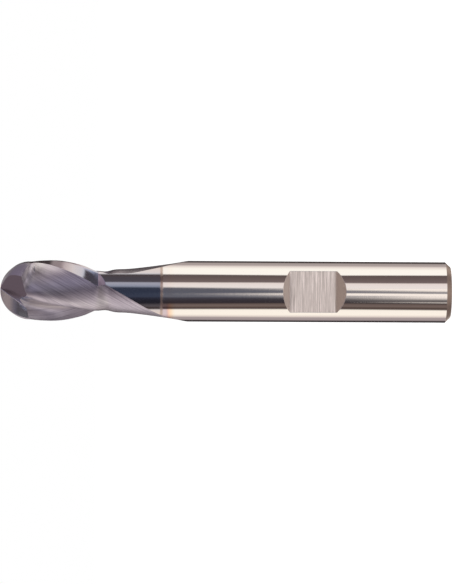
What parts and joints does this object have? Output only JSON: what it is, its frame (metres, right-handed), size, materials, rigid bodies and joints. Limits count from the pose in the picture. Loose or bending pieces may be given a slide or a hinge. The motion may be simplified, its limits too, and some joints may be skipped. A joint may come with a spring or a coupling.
{
  "type": "ball nose end mill",
  "caption": "Solid carbide milling cutter with a ball end, short spiral flutes that run out into a dark coated neck, and a plain round shank with one clamping flat.",
  "frame": {"origin": "on the tool's axis, at the centre of the shank's end face", "axes": "+Z along the tool's axis from the shank to the tip; -Y is the way the clamping flat faces"},
  "size_m": [0.008, 0.008, 0.0593],
  "materials": {
    "carbide": "ground and polished carbide, with a dark violet-grey hard coating on the cutting end"
  },
  "bodies": {
    "root": {"end_mill": "carbide"}
  },
  "joints": []
}
